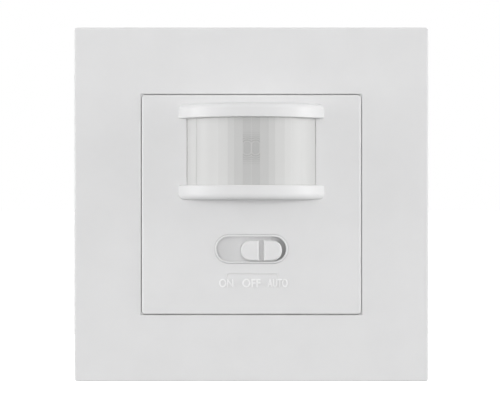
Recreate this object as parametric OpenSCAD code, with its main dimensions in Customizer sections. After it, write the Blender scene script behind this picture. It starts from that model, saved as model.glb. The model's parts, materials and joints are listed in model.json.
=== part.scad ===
// Motion sensor light switch for a flush wall box: a square frame, a centre plate with a
// hooded lens and a three-position slider, and a rear housing that holds the electronics.
// Every piece is drawn facing the viewer, with x to the right, y up and z out of the wall,
// and on_wall() then stands it up: the wall is the plane y = 0, the front faces -y, up is +z.
// All sizes are in millimetres.

/* [Outer frame] */
// Width and height of the square frame
frame_w = 86; // [82:0.5:90]
// Height of the frame's front face over the wall
frame_front = 9.5; // [9:0.1:11.5]
// Wall thickness of the frame
frame_wall = 2; // [1.6:0.1:2.6]
// Radius of the frame's front edges
frame_edge_r = 0.4; // [0.3:0.1:1.2]
// Radius of the frame's four corners
frame_corner_r = 0.9; // [0.5:0.1:2]

/* [Centre plate] */
// Width and height of the square centre plate
plate_w = 53.2; // [52:0.2:53.8]
// Thickness of the centre plate
plate_t = 2.2; // [1.8:0.1:2.6]
// How far the plate stands in front of the frame
plate_proud = 0.4; // [0:0.1:1]
// Visible gap between the plate and the frame
plate_gap = 0.15; // [0.1:0.05:0.5]
// Radius of the plate's four corners
plate_corner_r = 0.9; // [0.5:0.1:1.5]
// Radius of the plate's front edges
plate_edge_r = 0.4; // [0.2:0.1:0.6]

/* [Sensor head] */
// How far the lens's middle lies below the middle of the plate's upper half
head_drop = 0.55; // [0.3:0.05:1.05]
// Height of the lens between the two hoods
lens_h = 16.2; // [14.8:0.2:16.6]
// Radius of the lens's outer surface
lens_r = 18.8; // [18:0.2:20]
// Thickness of the lens
lens_t = 0.7; // [0.5:0.1:1]
// How far the lens bulges out of the plate
lens_bulge = 8.2; // [7.6:0.2:9.2]
// Thickness of each hood, above and below the lens
hood_t = 3.45; // [2.8:0.05:3.7]
// How far the hoods stand out past the lens
hood_overhang = 1.8; // [1.2:0.1:2.2]
// Radius of the hoods' outer edges
hood_edge_r = 1.3; // [0.6:0.1:1.8]

/* [Mode slider] */
// Height of the slider's slot above the plate's middle
slot_y = -10.8; // [-11.4:0.2:-10.2]
// Length of the slot
slot_l = 16.8; // [16:0.2:18]
// Height of the slot
slot_h = 6; // [5.8:0.1:6.6]
// Thickness of the plate round the slot
slot_wall = 1.2; // [1:0.1:1.6]
// Width of the raised rim round the slot
rim_w = 0.5; // [0.3:0.1:0.9]
// Height of that rim over the plate
rim_h = 0.3; // [0.1:0.1:0.6]
// Length of the knob
knob_l = 10; // [9:0.2:10.6]
// Height of the knob
knob_h = 5; // [4.6:0.1:5.2]
// How far the knob stands out of the plate
knob_proud = 1.1; // [0.6:0.1:2]
// Step of the knob from one position to the next
knob_step = 2.45; // [2:0.05:2.5]
// Position of the knob, from the left
knob_position = 2; // [0:1:2]

/* [Wall fixing] */
// Distance between opposite screws of the wall box
box_pitch = 60; // [60:0.1:60.6]
// Width of the screw slots
box_slot_w = 4.5; // [3.8:0.1:4.6]
// Length of the screw slots
box_slot_l = 7.4; // [6:0.2:7.4]
// Width and height of the steel support plate
support_w = 71; // [70.5:0.5:73]
// Thickness of the steel sheet
support_t = 1.2; // [1:0.1:1.5]

/* [Rear housing] */
// Width and height of the housing behind the wall
housing_w = 46; // [45.5:0.25:47]
// Wall thickness of the housing
housing_wall = 1.6; // [1.4:0.1:1.8]
// Radius of the housing's corners, which lets it into a round wall box
housing_corner_r = 9; // [8.5:0.25:10]
// Radius of the housing's back edge
housing_edge_r = 1; // [0.5:0.1:1.4]

/* [Electronics] */
// Thickness of the circuit boards
board_t = 1.6; // [1.2:0.1:2]
// Height of the relay, the tallest part between the boards
relay_h = 11; // [10.6:0.2:13]
// Height of the terminal block
terminal_h = 10; // [9.6:0.2:11.6]
// Distance between the terminals
terminal_pitch = 8; // [7.4:0.1:8]
// Diameter of the wire entries
wire_d = 3.4; // [3:0.1:3.6]
// Diameter of the two adjusters on the back
rotor_d = 5; // [4.4:0.1:5.6]

/* [Hidden] */
$fn = 64;

// Overshoot of a cutting shape past the face that it cuts
cut = 1;
// Overlap of two shapes that are fused into one piece
bite = 0.4;

// Clearances
lens_gap = 0.1;
slide_gap = 0.1;
fit_gap = 0.3;
pin_gap = 0.18;
thread_gap = 0.05;

// Levels along z at the front, from the wall outwards
flange_t = 1.6;
flange_front = support_t + flange_t;
plate_front = frame_front + plate_proud;
plate_back = plate_front - plate_t;
lens_axis_z = plate_front + lens_bulge - lens_r;

// Centre plate: the skirt round its back edge stands on the housing's flange
skirt_t = 1.6;
skirt_seat = 1;
opening_w = plate_w + 2 * plate_gap;
flange_w = plate_w - 2 * skirt_t + 2 * skirt_seat;
flange_corner_r = 6;

// Lens and the hoods round it
head_y = plate_w / 4 - head_drop;
hood_r = lens_r + hood_overhang;
hood_lip_r = 0.3;
lens_lap = 1;
lens_full_h = lens_h + 2 * lens_lap;
lens_cavity_r = lens_r + lens_gap;
lens_cavity_h = lens_full_h + 2 * lens_gap;
lens_seat = 0.2;
lens_end_z = plate_back + lens_seat;
lens_half_angle = acos((lens_end_z - lens_axis_z) / (lens_r - lens_t));
// Angles between the lens's narrow middle strips and between its wide outer ones
strip_angle = 6.3;
narrow_strips = 4;
wide_strip_angle = 10;
wide_strips = 2;
strip_edges = [
    for (i = [0 : narrow_strips]) i * strip_angle,
    for (i = [1 : wide_strips]) narrow_strips * strip_angle + i * wide_strip_angle
];
strip_groove = 0.22;

// Slider: the knob's skirt runs behind the plate between two rails and hides the slot's back
middle_position = 1;
knob_x = (knob_position - middle_position) * knob_step;
knob_play = 0.15;
knob_drop = (slot_h - knob_h) / 2 - knob_play;
knob_edge_r = 0.5;
knob_front = plate_front + knob_proud;
groove_floor_w = 1;
groove_top_w = 1.8;
groove_depth = 1.2;
groove_chamfer = (groove_top_w - groove_floor_w) / 2;
runner_t = 1.2;
runner_step = 0.7;
runner_step_x = (knob_l - knob_h) / 2;
runner_cover = 0.3;
runner_overlap = 1.45;
runner_l = slot_l + 2 * knob_step + 2 * runner_cover;
runner_w = slot_h + 2 * runner_overlap;
runner_recess = plate_front - slot_wall;
runner_recess_l = runner_l + 2 * (knob_step + fit_gap);
runner_front = runner_recess - slide_gap;
runner_back = runner_front - runner_t;
rail_t = 1.2;
rail_lip = 0.8;
rail_lip_t = 0.9;
rail_l = runner_l;

// Steel support plate, its four folded tabs and the frame's hooks that clip into them
support_corner_r = 5;
tab_h = 4.2;
tab_l = 10;
clip_y = 20;
clip_window_w = 6;
clip_window_h = 1.7;
clip_window_rise = 1.4;
clip_window_z = support_t + clip_window_rise;
hook_w = 5;
hook_t = 1.6;
hook_gap = 0.3;
hook_reach = 0.9;
hook_play = 0.2;
hook_lip = 0.5;
hook_tail = 0.6;

// Cross recess of the screws
recess_w = 0.9;
recess_rim = 0.9;
recess_depth = 1;

// Ears of the housing's flange and the screws that hold them to the support plate
ear_reach = 4;
ear_screw_x = flange_w / 2 + ear_reach;
ear_screw_y = 9;
ear_half_w = 4;
ear_end = 3.2;
ear_corner_r = 1.5;
m3_head_d = 5.4;
m3_head_h = 2;
m3_shank_d = 2.5;
m3_hole_d = 3.2;

// Collar behind the frame's opening, and the ribs between it and the frame's outer wall
collar_t = 1.4;
collar_gap = 0.6;
collar_back = flange_front + m3_head_h + collar_gap;
frame_rib_t = 1;
frame_rib_h = 1.4;
frame_rib_offsets = [-33, -11, 11, 33];

// Sensor board and what stands on it
pir_h = 4.6;
pir_element_depth = 0.7;
board_front = lens_axis_z + pir_element_depth - pir_h;
board_back = board_front - board_t;
board_clear = 0.4;
board_w = housing_w - 2 * housing_wall - 2 * board_clear;
board_corner_r = housing_corner_r - housing_wall - board_clear;
lead_tail = 1.1;

// Levels along z behind the wall, from the sensor board backwards
stack_clear = 1.3;
power_front = board_back - relay_h - stack_clear;
power_back = power_front - board_t;
housing_back = power_back - terminal_h;
housing_floor = housing_back + housing_wall;

// Pyroelectric sensor in its metal can
pir_flange_d = 9.2;
pir_flange_t = 0.8;
pir_can_d = 8.2;
pir_can_t = 0.4;
pir_can_edge_r = 0.3;
pir_opening = [4, 3];
pir_window_size = [5, 4, 0.4];
pir_lead_d = 0.45;
pir_lead_circle_r = 2.54;
pir_lead_angles = [45, 135, 270];
pir_leads = [
    for (a = pir_lead_angles) [pir_lead_circle_r * cos(a), head_y + pir_lead_circle_r * sin(a)]
];

// Light sensor beside it
photo_x = 9.5;
photo_d = 3;
photo_h = 4.4;
photo_flange_d = 3.8;
photo_flange_t = 0.8;
photo_lead_pitch = 2.54;
photo_leads = [for (s = [-0.5, 0.5]) [photo_x, head_y + s * photo_lead_pitch]];

// Light shroud between the sensor board and the lens
shroud_t = 1.2;
shroud_half_w = sqrt(pow(lens_cavity_r, 2) - pow(lens_end_z - lens_axis_z, 2)) - lens_gap;
shroud_corner_r = 2;
shroud_clear = 0.45;
shroud_pir_room = 3.6;
shroud_photo_room = 2.4;
shroud_low_half_w = photo_x + photo_flange_d / 2 + shroud_photo_room;
shroud_low_top = housing_w / 2 - housing_wall - shroud_clear;
shroud_low_bottom = head_y - pir_flange_d / 2 - shroud_pir_room;
shroud_high_h = lens_cavity_h + 2 * shroud_t;
shroud_step = flange_front + fit_gap;
shroud_tab_h = lens_h - 2 * shroud_corner_r;
shroud_tab_root = 2;

// Long screws that clamp plate, sensor board and housing together
boss_r = 2;
boss_gap = 0.3;
side_post_inset = 2.8;
side_post_drop = 1.85;
low_post_rise = 6;
side_post = [
    housing_w / 2 - housing_wall - side_post_inset,
    head_y - shroud_high_h / 2 - side_post_drop - boss_r
];
low_post = [runner_l / 2 + knob_step + boss_gap + boss_r, low_post_rise - housing_w / 2];
posts = [
    for (p = [side_post, low_post], s = [-1, 1]) [s * p[0], p[1]]
];
post_r = 3.6;
post_foot_r = 4.8;
post_root = housing_floor - bite;
post_notch_r = post_r + board_clear;
post_head_t = 3.9;
case_head_d = 4;
case_head_h = 1.6;
case_shank_d = 2;
case_shank_l = 12;
case_hole_d = case_shank_d + fit_gap;
case_seat = board_back - post_head_t;
case_well_d = case_head_d + 2 * fit_gap;
boss_bore_end = case_seat + case_shank_l + cut;

// Slide switch under the knob
switch_l = 12.8;
switch_w = 6.6;
switch_h = 5;
switch_wall = 0.5;
switch_base_t = 1.2;
switch_pin_d = 0.7;
switch_pin_pitch = 2.5;
switch_row_pitch = 2.8;
switch_pins = [
    for (i = [-1.5 : 1.5], s = [-0.5, 0.5]) [i * switch_pin_pitch, slot_y + s * switch_row_pitch]
];
socket_wall = 1.2;
socket_gap = 0.1;
socket_depth = 2.4;
lever_l = 2.4;
lever_w = 2;
lever_top = runner_back - socket_wall - socket_gap;
socket_back = lever_top - socket_depth;
carriage_l = 6;
carriage_h = 2;
carriage_gap = 0.2;
carriage_top = board_front + switch_h - switch_wall - carriage_gap;
bridge_h = carriage_top - carriage_h - board_front - switch_base_t - slide_gap;
bridge_margin = 0.5;
bridge_finger_w = 0.8;

// Control chip on the sensor board, above the switch
chip_size = [9.9, 3.9, 1.5];
chip_lift = 0.1;
chip_gap = 0.45;
chip_legs = 8;
chip_leg_pitch = 1.27;
chip_leg_size = [0.45, 1.1, 0.7];
chip_leg_root = 0.2;
chip_y = slot_y + switch_w / 2 + chip_gap + chip_size[1] / 2 + chip_leg_size[1] - chip_leg_root;

// Header that joins the two boards, above the left side post
header_pins = 5;
header_pitch = 2.54;
header_pin_w = 0.64;
header_strip = [2.5, 2.5];
header_hole_d = 1.1;
header_inset = 2.1;
header_x = -(board_w / 2 - header_inset);
header_l = header_pins * header_pitch;
header_y = side_post[1] + post_foot_r + fit_gap + (header_pin_w - header_pitch + header_l) / 2;
header_points = [
    for (i = [0 : header_pins - 1]) [header_x, header_y + (i - (header_pins - 1) / 2) * header_pitch]
];

// Parts between the boards, each with its place on the power board
case_corner_r = 0.6;
relay_size = [10.2, 18.4];
relay_side = 5.4;
relay_rise = 1.8;
relay_at = [
    board_w / 2 - relay_side - relay_size[0] / 2,
    side_post[1] + relay_rise + relay_size[1] / 2
];
film_size = [7.5, 15, 10.4];
film_side = 4.65;
film_rise = 4.5;
film_at = [
    -board_w / 2 + film_side + film_size[0] / 2,
    side_post[1] + film_rise + film_size[1] / 2
];
smoothing_d = 8;
smoothing_h = 10.4;
vent_groove = 0.5;
sleeve_rim = 0.7;
smoothing_inset = 2;
smoothing_at = [
    (film_at[0] + film_size[0] / 2 + relay_at[0] - relay_size[0] / 2) / 2,
    board_w / 2 - smoothing_inset - smoothing_d / 2
];
varistor_d = 8.4;
varistor_t = 4;
varistor_lift = 1;
varistor_lead_d = 0.7;
varistor_lead_pitch = 4.2;
varistor_lead_offset = 1;
varistor_lead_l = 3.8;
varistor_gap = 4.5;
varistor_at = [
    smoothing_at[0],
    smoothing_at[1] - smoothing_d / 2 - varistor_gap - varistor_t / 2
];
fuse_d = 3.4;
fuse_waist_d = 2.9;
fuse_l = 9;
fuse_cap_l = 2.4;
fuse_lead_d = 0.7;
fuse_lead_l = 2;
fuse_at = [-8, -9];
bridge_size = [8.4, 6.4, 3.2];
bridge_at = [5.5, -9];

// Terminal block in a notch at the housing's lower back edge
terminals = 3;
terminal_side = 4.2;
terminal_half_w = terminal_pitch * (terminals - 1) / 2 + terminal_side;
terminal_bottom = -housing_w / 2;
terminal_d = 10.5;
terminal_entry_t = 3;
terminal_funnel = 0.5;
terminal_xs = [for (i = [0 : terminals - 1]) (i - (terminals - 1) / 2) * terminal_pitch];
clamp_w = 5.2;
clamp_wall = 0.7;
clamp_l = 5.6;
clamp_gap = 0.15;
clamp_depth = 4.2;
clamp_z = power_back - clamp_depth;
clamp_y = terminal_bottom + terminal_entry_t + clamp_gap + clamp_l / 2;
clamp_tail = [2, 0.8];
clamp_tail_hole = [clamp_tail[0] + 2 * pin_gap, clamp_tail[1] + 2 * pin_gap];
terminal_head_d = 4.2;
terminal_head_h = 1.6;
terminal_head_sunk = 0.8;
terminal_seat = housing_back + terminal_head_sunk + terminal_head_h;
terminal_well_d = terminal_head_d + 2 * fit_gap;
terminal_shank_d = 2.5;
terminal_tip_in = 0.9;
terminal_shank_l = clamp_z - clamp_w / 2 + clamp_wall + terminal_tip_in - terminal_seat;

// Adjusters for the time and the light level, turned from the back
adjuster_x = 9;
adjuster_y = 9;
trimmer_wall = 1.2;
trimmer_w = rotor_d + 2 * trimmer_wall;
trimmer_h = 3.4;
trimmer_well = 1.8;
rotor_gap = 0.05;
rotor_proud = 0.4;
rotor_slot_w = 0.9;
rotor_slot_l = 3.6;
rotor_slot_depth = 1.2;
pointer_depth = 0.6;
rotor_chamfer = 0.4;
rotor_hole_d = rotor_d + 2 * fit_gap;
rotor_tail = power_back - trimmer_h + trimmer_well - slide_gap;

// Ledges along the housing's top wall that carry the power board's upper edge
ledge_x = 13;
ledge_w = 2.4;

// Vents in the housing's top wall
vents = 5;
vent_pitch = 4;
vent_w = 1.4;
vent_l = 9;

// Colours
white = [0.87, 0.87, 0.86];
lens_white = [0.85, 0.86, 0.86, 0.8];
steel = [0.72, 0.73, 0.74];
brass = [0.78, 0.62, 0.32];
board_green = [0.08, 0.32, 0.17];
black = [0.09, 0.09, 0.1];

// Stands a piece that was drawn facing the viewer up against the wall
module on_wall() {
    rotate([90, 0, 0]) children();
}

// Draws along the lens's vertical axis, with angle 0 facing out of the wall
module about_lens() {
    translate([0, head_y, lens_axis_z]) rotate([-90, 0, 0]) rotate([0, 0, -90]) children();
}

// Square or rectangle with round corners
module rounded_square(w, h, r) {
    square([w - 2 * r, h], center = true);
    square([w, h - 2 * r], center = true);
    for (sx = [-1, 1], sy = [-1, 1])
        translate([sx * (w / 2 - r), sy * (h / 2 - r)]) circle(r);
}

// Rectangle with half-round ends
module stadium(l, h) {
    square([l - h, h], center = true);
    for (s = [-1, 1]) translate([s * (l - h) / 2, 0]) circle(h / 2);
}

// Cross-section of half a plate of height h, from its middle to its rounded front edge at r
module edge_section(r, h, edge_r) {
    square([r - edge_r, h]);
    square([r, h - edge_r]);
    translate([r - edge_r, h - edge_r]) circle(edge_r);
}

// Bar along x with both front edges rounded
module soft_bar(l, w, h, edge_r) {
    rotate([90, 0, 90]) linear_extrude(l, center = true) {
        edge_section(w / 2, h, edge_r);
        mirror([1, 0]) edge_section(w / 2, h, edge_r);
    }
}

// Square block with round corners and rounded front edges, standing on z = 0
module soft_slab(w, h, corner_r, edge_r) {
    intersection() {
        linear_extrude(h) rounded_square(w, w, corner_r);
        soft_bar(w + cut, w, h, edge_r);
        rotate([0, 0, 90]) soft_bar(w + cut, w, h, edge_r);
    }
}

// Square block with round corners and one rounded edge that runs round them, standing on z = 0
module soft_box(w, h, corner_r, edge_r) {
    for (a = [0, 90]) rotate([0, 0, a]) soft_bar(w - 2 * corner_r, w, h, edge_r);
    for (sx = [-1, 1], sy = [-1, 1])
        translate([sx * (w / 2 - corner_r), sy * (w / 2 - corner_r), 0])
            rotate_extrude() edge_section(corner_r, h, edge_r);
}

// Long block with half-round ends and a rounded front edge, standing on z = 0
module soft_stadium(l, h, t, edge_r) {
    soft_bar(l - h, h, t, edge_r);
    for (s = [-1, 1])
        translate([s * (l - h) / 2, 0, 0]) rotate_extrude() edge_section(h / 2, t, edge_r);
}

// Screw that points along +z, with the seat of its pan head at z = 0 and a cross recess
module screw(head_d, head_h, shank_d, shank_l) {
    recess_l = head_d - 2 * recess_rim;
    difference() {
        union() {
            translate([0, 0, -head_h / 2]) cylinder(h = head_h / 2, d = head_d);
            translate([0, 0, -head_h])
                cylinder(h = head_h / 2, d1 = head_d - head_h / 2, d2 = head_d);
            translate([0, 0, -bite]) cylinder(h = shank_l + bite, d = shank_d);
        }
        for (a = [0, 90])
            rotate([0, 0, a]) translate([-recess_l / 2, -recess_w / 2, -head_h - cut])
                cube([recess_l, recess_w, recess_depth + cut]);
    }
}

// Rounding of the frame's opening, as a cutter along one of its sides
module opening_edge_cutter() {
    translate([0, opening_w / 2 + plate_edge_r, frame_front - plate_edge_r])
        rotate([90, 0, 90]) linear_extrude(opening_w, center = true) difference() {
            translate([-plate_edge_r - cut, 0]) square([plate_edge_r + cut, plate_edge_r + cut]);
            circle(plate_edge_r);
        }
}

// Hook inside the frame that snaps into a window of the support plate, on the +x side
module frame_hook() {
    inner_x = support_w / 2 + hook_gap;
    barb_back = clip_window_z + hook_play;
    barb_front = clip_window_z + clip_window_h - hook_play;
    translate([0, -hook_w / 2, 0]) rotate([90, 0, 0]) mirror([0, 0, 1]) linear_extrude(hook_w)
        polygon([
            [inner_x, frame_front - frame_wall + bite],
            [inner_x, barb_front],
            [inner_x - hook_reach, barb_front],
            [inner_x - hook_reach, barb_front - hook_lip],
            [inner_x, barb_back],
            [inner_x, barb_back - hook_tail],
            [inner_x + hook_t, barb_back - hook_tail],
            [inner_x + hook_t, frame_front - frame_wall + bite]
        ]);
}

// Ribs under the frame's front wall, between the collar and the outer wall on the +x side
module frame_ribs() {
    rib_start = opening_w / 2 + collar_t - bite;
    rib_end = frame_w / 2 - frame_wall + bite;
    for (y = frame_rib_offsets)
        translate([rib_start, y - frame_rib_t / 2, frame_front - frame_wall - frame_rib_h])
            cube([rib_end - rib_start, frame_rib_t, frame_rib_h + bite]);
}

module outer_frame() {
    inner_w = frame_w - 2 * frame_wall;
    collar_w = opening_w + 2 * collar_t;
    opening_r = plate_corner_r + plate_gap;
    color(white) on_wall() {
        difference() {
            soft_slab(frame_w, frame_front, frame_corner_r, frame_edge_r);
            difference() {
                translate([0, 0, -cut])
                    linear_extrude(frame_front - frame_wall + cut)
                        rounded_square(inner_w, inner_w, frame_corner_r / 2);
                translate([0, 0, collar_back])
                    linear_extrude(frame_front) rounded_square(collar_w, collar_w, opening_r + collar_t);
            }
            translate([0, 0, -cut])
                linear_extrude(frame_front + 2 * cut)
                    rounded_square(opening_w, opening_w, opening_r);
            for (a = [0, 90, 180, 270]) rotate([0, 0, a]) opening_edge_cutter();
        }
        for (a = [0, 90, 180, 270]) rotate([0, 0, a]) frame_ribs();
        for (a = [0, 180], y = [-clip_y, clip_y])
            rotate([0, 0, a]) translate([0, y, 0]) frame_hook();
    }
}

// One hood: a disc about the lens's axis with a rounded outer rim, kept in front of the plate's back
module hood() {
    intersection() {
        rotate_extrude() difference() {
            edge_section(hood_r, hood_t, hood_edge_r);
            translate([hood_r - hood_lip_r, -cut]) difference() {
                square([hood_lip_r + cut, hood_lip_r + cut]);
                translate([0, hood_lip_r + cut]) circle(hood_lip_r);
            }
        }
        translate([plate_back + plate_t / 2 - lens_axis_z, -hood_r, 0])
            cube([hood_r, 2 * hood_r, hood_t]);
    }
}

// Rails behind the plate that carry the slider's skirt
module slider_rails() {
    rail_in = runner_w / 2 + slide_gap;
    lip_front = runner_back - slide_gap;
    for (a = [0, 180]) translate([0, slot_y, 0]) rotate([0, 0, a]) {
        translate([-rail_l / 2, rail_in, lip_front - rail_lip_t])
            cube([rail_l, rail_t, plate_back + bite - lip_front + rail_lip_t]);
        translate([-rail_l / 2, rail_in - rail_lip, lip_front - rail_lip_t])
            cube([rail_l, rail_lip + bite, rail_lip_t]);
    }
}

module centre_plate() {
    skirt_in = plate_w - 2 * skirt_t;
    color(white) on_wall() difference() {
        union() {
            difference() {
                translate([0, 0, plate_back])
                    soft_slab(plate_w, plate_t, plate_corner_r, plate_edge_r);
                translate([-runner_recess_l / 2, slot_y - runner_w / 2 - slide_gap, plate_back - cut])
                    cube([
                        runner_recess_l,
                        runner_w + 2 * slide_gap,
                        runner_recess - plate_back + cut
                    ]);
            }
            translate([0, 0, flange_front])
                linear_extrude(plate_back + bite - flange_front) difference() {
                    rounded_square(plate_w, plate_w, plate_corner_r);
                    rounded_square(skirt_in, skirt_in, plate_corner_r);
                }
            about_lens() {
                translate([0, 0, lens_h / 2]) hood();
                translate([0, 0, -lens_h / 2]) mirror([0, 0, 1]) hood();
            }
            translate([0, slot_y, plate_front - plate_edge_r])
                soft_stadium(slot_l + 2 * rim_w, slot_h + 2 * rim_w, plate_edge_r + rim_h, rim_h);
            slider_rails();
            for (p = posts)
                translate([p[0], p[1], board_front])
                    cylinder(h = plate_back + bite - board_front, r = boss_r);
        }
        about_lens()
            cylinder(h = lens_cavity_h, r = lens_cavity_r, center = true);
        translate([0, slot_y, plate_back - cut])
            linear_extrude(plate_t + rim_h + 2 * cut) stadium(slot_l, slot_h);
        for (p = posts)
            translate([p[0], p[1], board_front - cut])
                cylinder(h = boss_bore_end - board_front + cut, d = case_shank_d + 2 * thread_gap);
    }
}

// Skirt that hides the slot's back, lower on the right of the knob
module slider_skirt() {
    low_front = runner_front - runner_step;
    rotate([90, 0, 0]) linear_extrude(runner_w, center = true)
        polygon([
            [-runner_l / 2, runner_back],
            [runner_l / 2, runner_back],
            [runner_l / 2, low_front],
            [runner_step_x, low_front],
            [runner_step_x, runner_front],
            [-runner_l / 2, runner_front]
        ]);
}

module slider_knob() {
    knob_root = runner_front - runner_step - bite;
    socket = [lever_l + 2 * socket_gap, lever_w + 2 * socket_gap];
    color(white) on_wall() translate([knob_x, slot_y, 0]) difference() {
        union() {
            translate([0, -knob_drop, knob_root])
                soft_stadium(knob_l, knob_h, knob_front - knob_root, knob_edge_r);
            slider_skirt();
            translate([-socket[0] / 2 - socket_wall, -socket[1] / 2 - socket_wall, socket_back])
                cube([
                    socket[0] + 2 * socket_wall,
                    socket[1] + 2 * socket_wall,
                    runner_back + bite - socket_back
                ]);
        }
        translate([-socket[0] / 2, -socket[1] / 2, socket_back - cut])
            cube([socket[0], socket[1], lever_top + socket_gap - socket_back + cut]);
        translate([0, 0, knob_front]) rotate([90, 0, 0]) linear_extrude(slot_h * 2, center = true)
            polygon([
                [-groove_floor_w / 2, -groove_depth],
                [groove_floor_w / 2, -groove_depth],
                [groove_floor_w / 2, -groove_chamfer],
                [groove_top_w / 2, 0],
                [groove_top_w / 2, cut],
                [-groove_top_w / 2, cut],
                [-groove_top_w / 2, 0],
                [-groove_floor_w / 2, -groove_chamfer]
            ]);
    }
}

// Curved sheet with grooves on its inside that part it into upright strips
module fresnel_lens() {
    color(lens_white) on_wall() about_lens() difference() {
        rotate([0, 0, -lens_half_angle])
            rotate_extrude(angle = 2 * lens_half_angle)
                translate([lens_r - lens_t, -lens_full_h / 2]) square([lens_t, lens_full_h]);
        for (a = strip_edges, s = [-1, 1])
            if (a > 0 || s > 0)
                rotate([0, 0, s * a]) translate([lens_r - lens_t, 0, 0]) rotate([0, 0, 45])
                    cube([strip_groove, strip_groove, lens_full_h + cut], center = true);
    }
}

// Outline of the shroud's narrow part on the board, drawn in by an inset
module shroud_low_outline(inset) {
    translate([0, (shroud_low_top + shroud_low_bottom) / 2])
        rounded_square(
            2 * (shroud_low_half_w - inset),
            shroud_low_top - shroud_low_bottom - 2 * inset,
            shroud_corner_r - inset
        );
}

// Outline of its wide part behind the lens, drawn in by an inset
module shroud_high_outline(inset) {
    translate([0, head_y])
        rounded_square(
            2 * (shroud_half_w - inset),
            shroud_high_h - 2 * inset,
            shroud_corner_r - inset
        );
}

// Stepped funnel from the board to the lens, with two tabs at the lens's ends
module light_shroud() {
    wide_front = plate_back - slide_gap;
    color(white) on_wall() {
        difference() {
            union() {
                translate([0, 0, board_front])
                    linear_extrude(shroud_step + bite - board_front) shroud_low_outline(0);
                translate([0, 0, shroud_step])
                    linear_extrude(wide_front - shroud_step) shroud_high_outline(0);
            }
            translate([0, 0, board_front - cut])
                linear_extrude(shroud_step + shroud_t - board_front + 2 * cut)
                    shroud_low_outline(shroud_t);
            translate([0, 0, shroud_step + shroud_t])
                linear_extrude(wide_front - shroud_step) shroud_high_outline(shroud_t);
        }
        for (s = [-1, 1])
            translate([
                s * (shroud_half_w - shroud_t / 2),
                head_y,
                lens_end_z - lens_gap - shroud_tab_root
            ])
                linear_extrude(shroud_tab_root) square([shroud_t, shroud_tab_h], center = true);
    }
}

// Folded tabs of the support plate on the +x side, each with a window for one of the frame's hooks
module support_tabs() {
    for (y = [-clip_y, clip_y]) difference() {
        translate([support_w / 2 - support_t, y - tab_l / 2, 0])
            cube([support_t, tab_l, support_t + tab_h]);
        translate([support_w / 2 - support_t - cut, y - clip_window_w / 2, clip_window_z])
            cube([support_t + 2 * cut, clip_window_w, clip_window_h]);
    }
}

module support_plate() {
    hole_w = housing_w + 2 * fit_gap;
    color(steel) on_wall() {
        difference() {
            linear_extrude(support_t) difference() {
                rounded_square(support_w, support_w, support_corner_r);
                rounded_square(hole_w, hole_w, housing_corner_r + fit_gap);
            }
            for (a = [0 : 90 : 270])
                rotate([0, 0, a]) translate([box_pitch / 2, 0, -cut])
                    linear_extrude(support_t + 2 * cut) stadium(box_slot_l, box_slot_w);
            for (x = [-ear_screw_x, ear_screw_x], y = [-ear_screw_y, ear_screw_y])
                translate([x, y, -cut])
                    cylinder(h = support_t + 2 * cut, d = m3_shank_d + 2 * thread_gap);
        }
        for (a = [0, 180]) rotate([0, 0, a]) support_tabs();
    }
}

module support_screws() {
    color(steel) on_wall()
        for (x = [-ear_screw_x, ear_screw_x], y = [-ear_screw_y, ear_screw_y])
            translate([x, y, flange_front]) rotate([180, 0, 0])
                screw(m3_head_d, m3_head_h, m3_shank_d, flange_front - slide_gap);
}

// Outline of the housing, grown by a margin
module housing_outline(margin) {
    w = housing_w + 2 * margin;
    rounded_square(w, w, housing_corner_r + margin);
}

// Outside of the housing without its flange, with a rounded back edge
module housing_body() {
    depth = flange_front - housing_back;
    translate([0, 0, flange_front]) mirror([0, 0, 1])
        soft_box(housing_w, depth, housing_corner_r, housing_edge_r);
}

// Posts that run up from the housing's back wall, with a foot that carries the power board
module housing_posts() {
    intersection() {
        for (p = posts) translate([p[0], p[1], post_root]) {
            cylinder(h = board_back - post_root, r = post_r);
            cylinder(h = power_back - post_root, r = post_foot_r);
        }
        translate([0, 0, post_root])
            linear_extrude(board_back - post_root) housing_outline(-housing_wall / 2);
    }
}

module rear_housing() {
    inner_top = housing_w / 2 - housing_wall;
    color(white) on_wall() difference() {
        union() {
            difference() {
                union() {
                    housing_body();
                    translate([0, 0, support_t]) linear_extrude(flange_t) {
                        rounded_square(flange_w, flange_w, flange_corner_r);
                        for (y = [-ear_screw_y, ear_screw_y])
                            translate([0, y])
                                rounded_square(2 * (ear_screw_x + ear_end), 2 * ear_half_w, ear_corner_r);
                    }
                }
                translate([0, 0, housing_floor])
                    linear_extrude(flange_front - housing_floor + cut) housing_outline(-housing_wall);
            }
            housing_posts();
            for (s = [-1, 1])
                translate([s * ledge_x - ledge_w / 2, inner_top + bite - ledge_w, housing_floor - bite])
                    cube([ledge_w, ledge_w, power_back - housing_floor + bite]);
        }
        for (p = posts) translate([p[0], p[1], housing_back - cut]) {
            cylinder(h = case_seat - housing_back + cut, d = case_well_d);
            cylinder(h = board_back - housing_back + 2 * cut, d = case_hole_d);
        }
        for (s = [-1, 1])
            translate([s * adjuster_x, adjuster_y, housing_back - cut])
                cylinder(h = housing_wall + 2 * cut, d = rotor_hole_d);
        translate([-terminal_half_w - fit_gap, terminal_bottom - cut, housing_back - cut])
            cube([2 * (terminal_half_w + fit_gap), terminal_d + fit_gap + cut, terminal_h + cut]);
        for (i = [0 : vents - 1])
            translate([(i - (vents - 1) / 2) * vent_pitch - vent_w / 2, inner_top - cut, power_front])
                cube([vent_w, housing_wall + 2 * cut, vent_l]);
        for (x = [-ear_screw_x, ear_screw_x], y = [-ear_screw_y, ear_screw_y])
            translate([x, y, 0]) cylinder(h = flange_front + cut, d = m3_hole_d);
    }
}

module housing_screws() {
    color(steel) on_wall()
        for (p = posts) translate([p[0], p[1], case_seat])
            screw(case_head_d, case_head_h, case_shank_d, case_shank_l);
}

// Round hole through a board that starts at z = 0
module board_hole(at, d) {
    translate([at[0], at[1], -cut]) cylinder(h = board_t + 2 * cut, d = d);
}

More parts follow.
